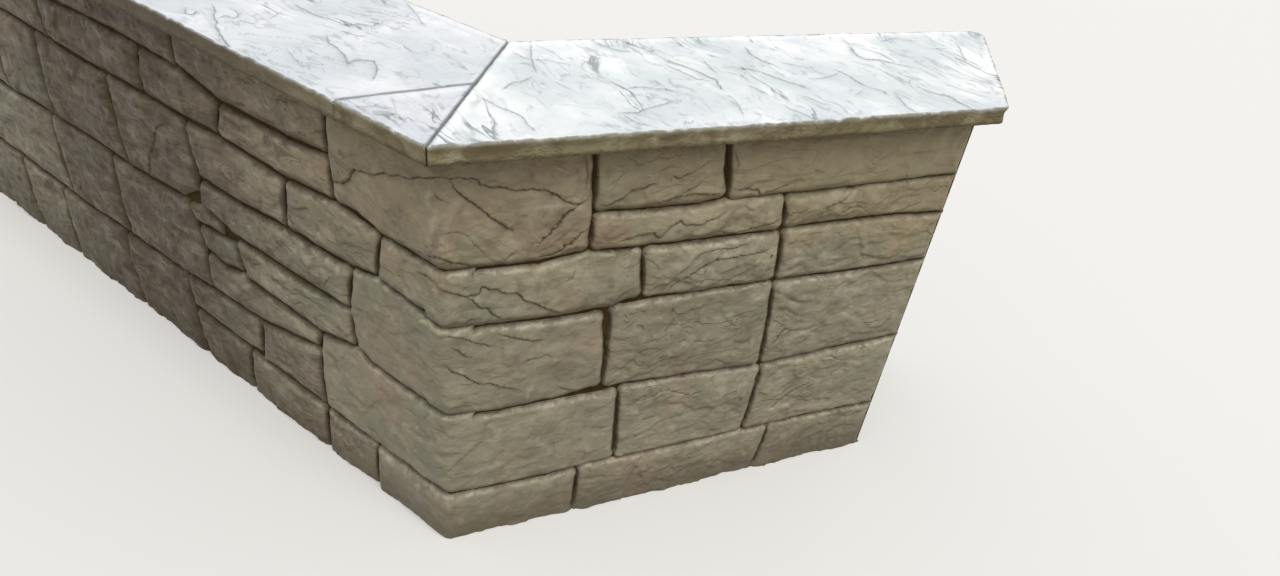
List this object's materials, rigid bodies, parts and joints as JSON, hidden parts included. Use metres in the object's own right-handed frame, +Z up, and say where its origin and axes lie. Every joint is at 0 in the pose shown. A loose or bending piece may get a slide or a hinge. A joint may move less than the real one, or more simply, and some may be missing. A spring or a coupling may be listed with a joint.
{
  "type": "garden parapet wall",
  "caption": "Low concrete parapet in two wings meeting at an obtuse outward corner, with moulded stone-relief facing that wraps the corner and mitred slate-textured coping slabs.",
  "frame": {"origin": "where the centre lines of the two wings meet, on the ground under the wall", "axes": "+X along the right wing, +Y from the faced side towards the soil side, +Z up"},
  "size_m": [2.1991, 1.8616, 0.805],
  "materials": {
    "core": "rough cast concrete",
    "coat": "mortar",
    "facing": "moulded concrete, matt",
    "coping": "stamped concrete, slight sheen",
    "mortar": "raked mortar"
  },
  "bodies": {
    "root": {"core_right": "core", "core_left_a": "core", "core_left_b": "core", "coat_right": "coat", "coat_left_a": "coat", "coat_left_b": "coat", "coat_back_right": "coat", "coat_back_left_a": "coat", "coat_back_left_b": "coat", "coat_end": "coat", "corner_1": "facing", "corner_2": "facing", "corner_3": "facing", "corner_4": "facing", "corner_5": "facing", "blocks_right_1": "facing", "blocks_right_2": "facing", "blocks_right_3": "facing", "blocks_right_4": "facing", "blocks_left_1": "facing", "blocks_left_2": "facing", "blocks_left_3": "facing", "blocks_left_4": "facing", "blocks_far_1": "facing", "blocks_far_2": "facing", "blocks_far_3": "facing", "back_right_1": "facing", "back_right_2": "facing", "back_left_1": "facing", "back_left_2": "facing", "back_far_1": "facing", "back_far_2": "facing", "blocks_end": "facing", "cap_right": "coping", "cap_wedge": "coping", "cap_left_a": "coping", "cap_left_b": "coping", "cap_joints": "mortar", "cap_bed_right": "mortar", "cap_bed_left": "mortar"}
  },
  "joints": []
}
